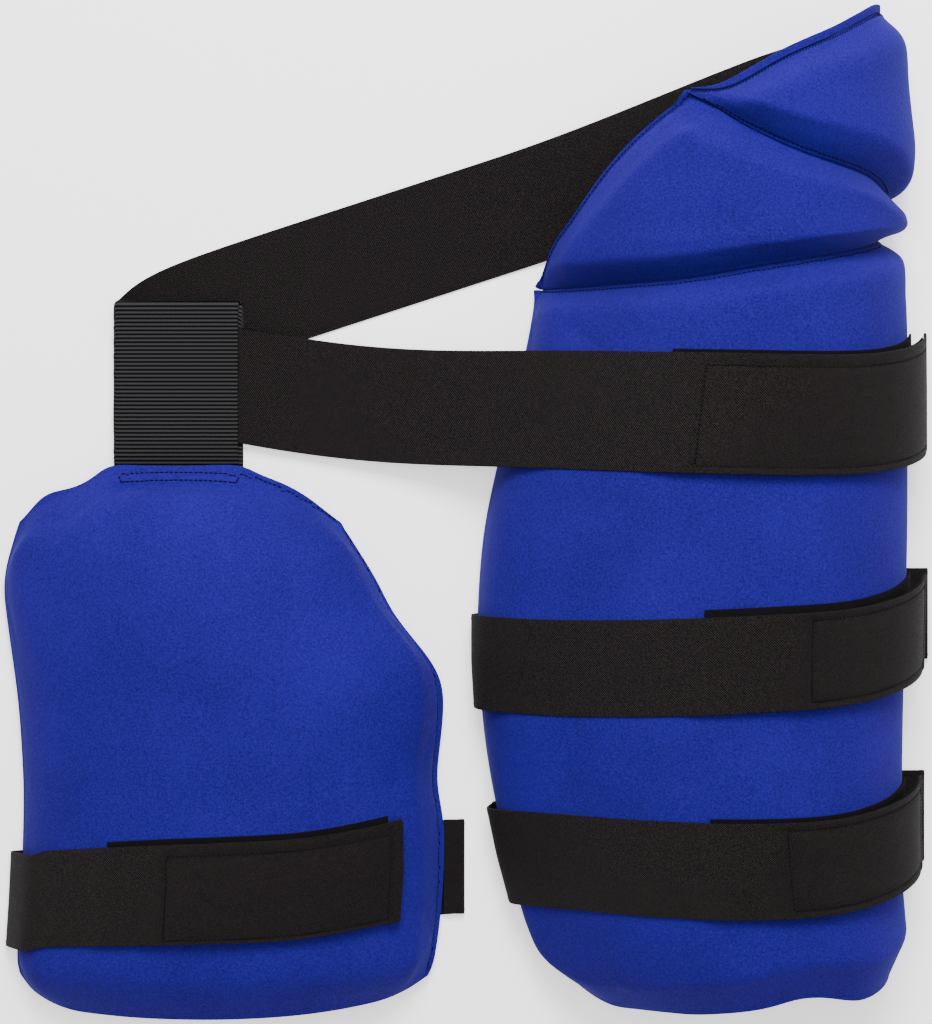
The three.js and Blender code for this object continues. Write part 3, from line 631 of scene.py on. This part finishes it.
# Copies the stitch along lines on a surface and joins the copies into one piece
def sew(name, surface, lines, kind):
    half = Vector((kind["length"] / 2, kind["width"] / 2, kind["height"] / 2))
    copies = []
    for line in lines:
        dense = resample(line, kind["pitch"])
        for here, ahead in zip(dense[:-1], dense[1:]):
            middle = Vector((here + ahead) / 2)
            hit, normal = surface.find_nearest(middle)[:2]
            way = Vector(ahead - here).normalized()
            way = (way - normal * way.dot(normal)).normalized()
            way = Matrix.Rotation(kind["lean"], 3, normal) @ way
            turn = Matrix((way, normal.cross(way), normal)).transposed()
            size = Matrix.Diagonal(half)
            made = oneStitch.copy()
            made.data = oneStitch.data.copy()
            made.data.transform((turn @ size).to_4x4())
            made.data.transform(Matrix.Translation(hit + normal * kind["rise"]))
            bpy.context.scene.collection.objects.link(made)
            copies.append(made)
    pick(copies[0])
    for made in copies:
        made.select_set(True)
    bpy.ops.object.join()
    seam = bpy.context.object
    seam.name = seam.data.name = name
    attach(seam, "root")
    print(f"{name}: {len(copies)} stitches")
    return seam


padStitch = {
    "length": 0.0023, "width": 0.00085, "height": 0.0007, "pitch": 0.0027, "rise": 0.0001, "lean": 0,
    "slot": "blue_fabric",
}
slantStitch = {**padStitch, "length": 0.003, "width": 0.0007, "pitch": 0.0019, "lean": 0.6}
bandStitch = {
    "length": 0.002, "width": 0.0009, "height": 0.0006, "pitch": 0.0025, "rise": 0.0001, "lean": 0,
    "slot": "black_elastic",
}
hemStitch = {**bandStitch, "length": 0.0015, "pitch": 0.0018}
keeperStitch = {**bandStitch, "length": 0.0011, "width": 0.0008, "pitch": 0.002, "slot": "black_webbing"}


# The part of a line between two places along X
def between(line, low, high):
    dense = resample(line, 0.0005)
    return dense[(dense[:, 0] >= low) & (dense[:, 0] <= high)]


# Evenly spaced points on a line, without the first and last few
def trimmed(line, pitch, first, last):
    return resample(line, pitch)[first:-last]


# How far in from its side each seam of the pads runs
seamInsets = {
    "hinge": 0.0007, "gusset": 0.0024, "welt": 0.0006, "neckRows": (0.0056, 0.0124), "neckEnd": 0.0015,
    "shoulder": 0.0042, "innerEdge": 0.0034,
}
grooves = {
    "pad": {"depth": 0.0019, "reach": 0.0019}, "neck": {"depth": 0.003, "reach": 0.004},
    "strap": {"depth": 0.0008, "reach": 0.0016},
}
neckFold = 0.003  # how far below its second row of stitches the neck folds

# The hinges' rows stop short of the wing, and the shoulder's row short of the pad's corner
outerFront = surfaceOf([pads["thighPad"], pads["gussetPad"], pads["hipPad"]])
hingeLines = [
    trimmed(insetLine(thighPlan, "hip", seamInsets["hinge"]), 0.002, 1, 18),
    trimmed(insetLine(hipPlan, "knee", seamInsets["hinge"]), 0.002, 5, 14),
]
gussetLine = insetLine(gussetPlan, "left", seamInsets["gusset"])
weltRun = weltPlan["rows"][:, 0, 0]
weltLine = between(insetLine(hipPlan, "hip", seamInsets["welt"]), weltRun.min(), weltRun.max())
keeperFoot = keeperPlan["rows"][0, :, 0]
neckEnds = (keeperFoot.min() + seamInsets["neckEnd"], keeperFoot.max() - seamInsets["neckEnd"])
neckLines = [between(insetLine(innerPlan, "hip", inset), *neckEnds) for inset in seamInsets["neckRows"]]
neckLines += [np.array([neckLines[0][end], neckLines[1][end]]) for end in (0, -1)]
shoulderLine = between(insetLine(innerPlan, "hip", seamInsets["shoulder"]), neckEnds[1], math.inf)[:-12]
innerLine = trimmed(insetLine(innerPlan, "right", seamInsets["innerEdge"]), 0.003, 2, 3)
pressLine(pads["gussetPad"], gussetLine, **grooves["pad"])
for line in (*neckLines, shoulderLine, innerLine):
    pressLine(pads["innerPad"], line, **grooves["pad"])
pressLine(pads["innerPad"], neckLines[1] - np.array([0, neckFold, 0]), **grooves["neck"])
innerFront = surfaceOf([pads["innerPad"]])
seams = {
    "blue": [
        sew("hingeStitches", outerFront, hingeLines, padStitch),
        sew("gussetStitches", outerFront, [gussetLine], padStitch),
        sew("weltStitches", outerFront, [weltLine], slantStitch),
        sew("neckStitches", innerFront, neckLines, padStitch),
        sew("innerEdgeStitches", innerFront, [shoulderLine, innerLine], padStitch),
    ],
}


# A line on a band's outer face, from places along it and across it
def bandLine(plan, places):
    rows, along = plan["rows"], plan["along"]
    columns = [rows[:, column] for column in range(rows.shape[1])]
    line = []
    for run, aside in places:
        rib = np.array([[np.interp(run, along, column[:, axis]) for axis in range(3)] for column in columns])
        shares = np.linspace(-plan["width"] / 2, plan["width"] / 2, len(rib))
        line.append([np.interp(aside, shares, rib[:, axis]) for axis in range(3)])
    return np.array(line)


# The stitched box that holds the hook tape under a strap's end, and the row along its hem.
# Each tab names how far its box lies in from the strap's two sides.
tabStart = 0.0072  # from the strap's end to the hem's row
tabShort = 0.003  # how much shorter than the tape the box is
tabs = {
    "waistBelt": {"plan": beltPlan, "hook": hookPlans["belt"], "fromHip": 0.0065, "fromKnee": 0.0044},
    "upperStrap": {"plan": upperPlan, "hook": hookPlans["upper"], "fromHip": 0.004, "fromKnee": 0.004},
    "lowerStrap": {"plan": lowerPlan, "hook": hookPlans["lower"], "fromHip": 0.004, "fromKnee": 0.004},
    "innerStrap": {"plan": innerStrapPlan, "hook": hookPlans["inner"], "fromHip": 0.0065, "fromKnee": 0.0025},
}


def tabLines(plan, hook, fromHip, fromKnee):
    toHip = 1 if plan["rows"][0, -1, 1] > plan["rows"][0, 0, 1] else -1
    high, low = plan["width"] / 2 - fromHip, fromKnee - plan["width"] / 2
    end = hook["length"] + tabStart - tabShort
    runs = np.linspace(tabStart, end, 24)
    box = [
        bandLine(plan, [(run, high * toHip) for run in runs]),
        bandLine(plan, [(run, low * toHip) for run in runs]),
        bandLine(plan, [(end, aside) for aside in np.linspace(low, high, 8) * toHip]),
    ]
    hem = bandLine(plan, [(tabStart, aside) for aside in np.linspace(-0.48, 0.48, 8) * plan["width"]])
    return box, hem


seams["black"] = []
for name, tab in tabs.items():
    box, hem = tabLines(**tab)
    for line in (*box, hem):
        pressLine(bands[name], line, **grooves["strap"], mark="outer")
    surface = surfaceOf([bands[name]])
    seams["black"].append(sew(f"{name}Stitches", surface, box, bandStitch))
    seams["black"].append(sew(f"{name}HemStitches", surface, [hem], hemStitch))

# Rows across the keeper's front layer, just below its fold
keeperSeam = {"foldHeight": 0.004, "drops": (0.001, 0.0032, 0.0054), "share": 0.49}
keeperTop = keeperPlan["rows"][:, :, 1].max() - keeperSeam["foldHeight"]
frontEnd = keeperPlan["along"][int(np.argmax(keeperPlan["rows"][:, 0, 1] > keeperTop))]
keeperAcross = np.linspace(-keeperSeam["share"], keeperSeam["share"], 6) * keeperPlan["width"]
keeperRows = [
    bandLine(keeperPlan, [(frontEnd - drop, aside) for aside in keeperAcross])
    for drop in keeperSeam["drops"]
]
seams["grey"] = [sew("keeperStitches", surfaceOf([bands["keeperLoop"]]), keeperRows, keeperStitch)]
bpy.data.objects.remove(oneStitch)
print("seams sewn")


# Materials. A link stands for a node's output, so that a pattern is written as a sum.
class Link:
    def __init__(self, shader, socket):
        self.shader, self.socket = shader, socket

    def math(self, operation, first, second):
        return self.shader.node("ShaderNodeMath", {"operation": operation}, {0: first, 1: second})

    def __add__(self, other):
        return self.math("ADD", self, other)

    def __sub__(self, other):
        return self.math("SUBTRACT", self, other)

    def __rsub__(self, other):
        return self.math("SUBTRACT", other, self)

    def __mul__(self, other):
        return self.math("MULTIPLY", self, other)


class Shader:
    def __init__(self, name, **finish):
        self.material = bpy.data.materials.new(name)
        self.material.use_nodes = True
        self.tree = self.material.node_tree
        self.surface = self.tree.nodes["Principled BSDF"]
        for key, value in finish.items():
            self.surface.inputs[key.replace("_", " ")].default_value = value

    def node(self, kind, settings, inputs, output=0):
        made = self.tree.nodes.new(kind)
        for key, value in settings.items():
            setattr(made, key, value)
        for key, value in inputs.items():
            if isinstance(value, Link):
                self.tree.links.new(value.socket, made.inputs[key])
            else:
                made.inputs[key].default_value = value
        return Link(self, made.outputs[output])

    def feed(self, key, link):
        self.tree.links.new(link.socket, self.surface.inputs[key])

    def objectPlace(self):
        return self.node("ShaderNodeTexCoord", {}, {}, "Object")

    def bandPlace(self):
        return self.node("ShaderNodeUVMap", {"uv_map": "band"}, {})

    def split(self, vector):
        node = self.node("ShaderNodeSeparateXYZ", {}, {"Vector": vector}).socket.node
        return [Link(self, node.outputs[axis]) for axis in ("X", "Y")]

    def noise(self, place, scale, detail=2, roughness=0.5):
        inputs = {"Vector": place, "Scale": scale, "Detail": detail, "Roughness": roughness}
        return self.node("ShaderNodeTexNoise", {}, inputs, "Fac")

    def wave(self, place, pitch):
        return self.node("ShaderNodeMath", {"operation": "SINE"}, {0: place * (2 * math.pi / pitch)})

    def size(self, value):
        return self.node("ShaderNodeMath", {"operation": "ABSOLUTE"}, {0: value})

    def mix(self, factor, first, second):
        first, second = [tone if isinstance(tone, Link) else (*tone, 1) for tone in (first, second)]
        inputs = {"Factor": factor, 6: first, 7: second}
        return self.node("ShaderNodeMix", {"data_type": "RGBA"}, inputs, 2)

    def clamp(self, value):
        return self.node("ShaderNodeClamp", {}, {"Value": value})

    def bump(self, height, distance, strength=1):
        inputs = {"Height": height, "Distance": distance, "Strength": strength}
        self.feed("Normal", self.node("ShaderNodeBump", {}, inputs))


# Brushed knit cover of the pads; their lining is an open mesh of the same blue
knit = {
    "dark": (0.005, 0.0018, 0.062), "light": (0.0165, 0.0065, 0.195), "relief": 0.00012, "grain": 900,
    "contrast": 2.2, "patches": 18, "patchContrast": 0.5, "holeTone": (0.002, 0.003, 0.03),
    "holePitch": 0.0032,
}
blueKnit = Shader(
    "blueKnit", Roughness=0.92, Specular_IOR_Level=0.08, Sheen_Weight=0.06, Sheen_Roughness=0.5,
    Sheen_Tint=(0.15, 0.2, 1, 1),
)
place = blueKnit.objectPlace()
grain = blueKnit.noise(place, knit["grain"], 3, 0.7)
patches = blueKnit.noise(place, knit["patches"], 2)
waveX, waveY = [blueKnit.wave(axis, knit["holePitch"]) for axis in blueKnit.split(place)]
front = blueKnit.node("ShaderNodeAttribute", {"attribute_name": "front"}, {}, "Fac")
holes = blueKnit.clamp((waveX * waveY) * 2 - 0.5) * (1 - front)
speckle = (grain - 0.5) * knit["contrast"] + (patches - 0.5) * knit["patchContrast"] + 0.55
brushed = blueKnit.mix(speckle, knit["dark"], knit["light"])
blueKnit.feed("Base Color", blueKnit.mix(holes, brushed, knit["holeTone"]))
blueKnit.bump(grain - holes * 2, knit["relief"])

# The hinge tapes and the welt, of the same knit without a lining
blueBinding = Shader("blueBinding", Roughness=0.9, Specular_IOR_Level=0.08)
grain = blueBinding.noise(blueBinding.objectPlace(), knit["grain"], 3, 0.7)
speckle = (grain - 0.5) * knit["contrast"] + 0.5
blueBinding.feed("Base Color", blueBinding.mix(speckle, knit["dark"], knit["light"]))
blueBinding.bump(grain, knit["relief"])

# Twill elastic: diagonal ribs in the band's own UV map
twill = {
    "dark": (0.0003, 0.0003, 0.0003), "light": (0.028, 0.0225, 0.0232), "relief": 0.0005, "pitch": 0.0013,
    "contrast": 0.4, "grain": 1200, "grainContrast": 1.4,
}
blackTwill = Shader("blackTwill", Roughness=0.7, Specular_IOR_Level=0.05)
along, across = blackTwill.split(blackTwill.bandPlace())
diagonal = blackTwill.wave(along - across, twill["pitch"])
grain = blackTwill.noise(blackTwill.objectPlace(), twill["grain"], 2)
height = diagonal * twill["contrast"] + 0.38 + (grain - 0.5) * twill["grainContrast"]
blackTwill.feed("Base Color", blackTwill.mix(height, twill["dark"], twill["light"]))
blackTwill.bump(height, twill["relief"])

# Ribbed webbing: dark between the ribs as painted shade, with fine threads along them
webbing = {
    "dark": (0.0003, 0.0003, 0.0003), "light": (0.026, 0.026, 0.028), "relief": 0.00004, "thread": 0.0016,
}
blackWebbing = Shader("blackWebbing", Roughness=0.65, Specular_IOR_Level=0.04)
along, across = blackWebbing.split(blackWebbing.bandPlace())
# Painted shade: the colour turns dark in the gaps between the raised ribs, in step with their relief; the
# ribs' tops keep the webbing's own tone
ribs = blackWebbing.size(blackWebbing.wave(along, 2 * keeperPlan["ribs"]["pitch"]))
ribs = blackWebbing.clamp((ribs - 0.5) * 2.2)
fineThreads = blackWebbing.wave(across, webbing["thread"])
blackWebbing.feed("Base Color", blackWebbing.mix(ribs, webbing["dark"], webbing["light"]))
blackWebbing.bump(fineThreads * 0.5 + 0.5, webbing["relief"])

# Hook and pile tapes
pile = {"dark": (0.0008, 0.0008, 0.001), "light": (0.0085, 0.008, 0.0085), "relief": 0.0004, "fuzz": 1500}
blackPile = Shader("blackPile", Roughness=0.95, Specular_IOR_Level=0.04)
fuzz = blackPile.noise(blackPile.objectPlace(), pile["fuzz"], 3, 0.8)
blackPile.feed("Base Color", blackPile.mix(fuzz, pile["dark"], pile["light"]))
blackPile.bump(fuzz, pile["relief"])

# Sewing threads, by the colour of what they sew
navy, black, grey = (0.0006, 0.0006, 0.007, 1), (0.0004, 0.0004, 0.0004, 1), (0.035, 0.035, 0.038, 1)
threads = {
    "blue": Shader("navyThread", Base_Color=navy, Roughness=0.8, Specular_IOR_Level=0.08),
    "black": Shader("blackThread", Base_Color=black, Roughness=0.7, Specular_IOR_Level=0.1),
    "grey": Shader("greyThread", Base_Color=grey, Roughness=0.6, Specular_IOR_Level=0.2),
}


def dress(pieces, shader):
    for piece in pieces:
        piece.data.materials.append(shader.material)


dress(pads.values(), blueKnit)
dress([welt, *hingeTapes], blueBinding)
dress([bands["keeperLoop"]], blackWebbing)
dress([bands[name] for name in tabs], blackTwill)
dress(tapes, blackPile)
for colour, thread in threads.items():
    dress(seams[colour], thread)
print("materials made")


# Floor and light
studio = {"floorSize": 8, "floor": (0.97, 0.97, 0.97, 1), "white": (1, 1, 1, 1), "world": 0.7, "glow": 0.75}
bpy.ops.mesh.primitive_plane_add(size=studio["floorSize"], location=(0, 0, 0))
floor = bpy.context.object
floor.name = "paleFloor"
floorPaint = Shader(
    "paleFloor", Base_Color=studio["floor"], Roughness=0.9, Emission_Color=studio["white"],
    Emission_Strength=studio["glow"],
)
dress([floor], floorPaint)

world = bpy.data.worlds.new("studio")
world.use_nodes = True
background = world.node_tree.nodes["Background"]
background.inputs["Color"].default_value = studio["white"]
background.inputs["Strength"].default_value = studio["world"]
bpy.context.scene.world = world
softBoxes = {
    "hipLight": {"place": (0.1, 1.3, 1.5), "aim": (0, 0, 0), "size": 0.9, "power": 70},
    "overLight": {"place": (0.2, 0.1, 2.4), "aim": (0, 0, 0), "size": 1.6, "power": 26},
}
for name, box in softBoxes.items():
    aim = Vector(box["aim"]) - Vector(box["place"])
    turn = aim.to_track_quat("-Z", "Y").to_euler()
    bpy.ops.object.light_add(type="AREA", location=box["place"], rotation=turn)
    light = bpy.context.object
    light.name = name
    light.data.size = box["size"]
    light.data.energy = box["power"]
print("studio lit")
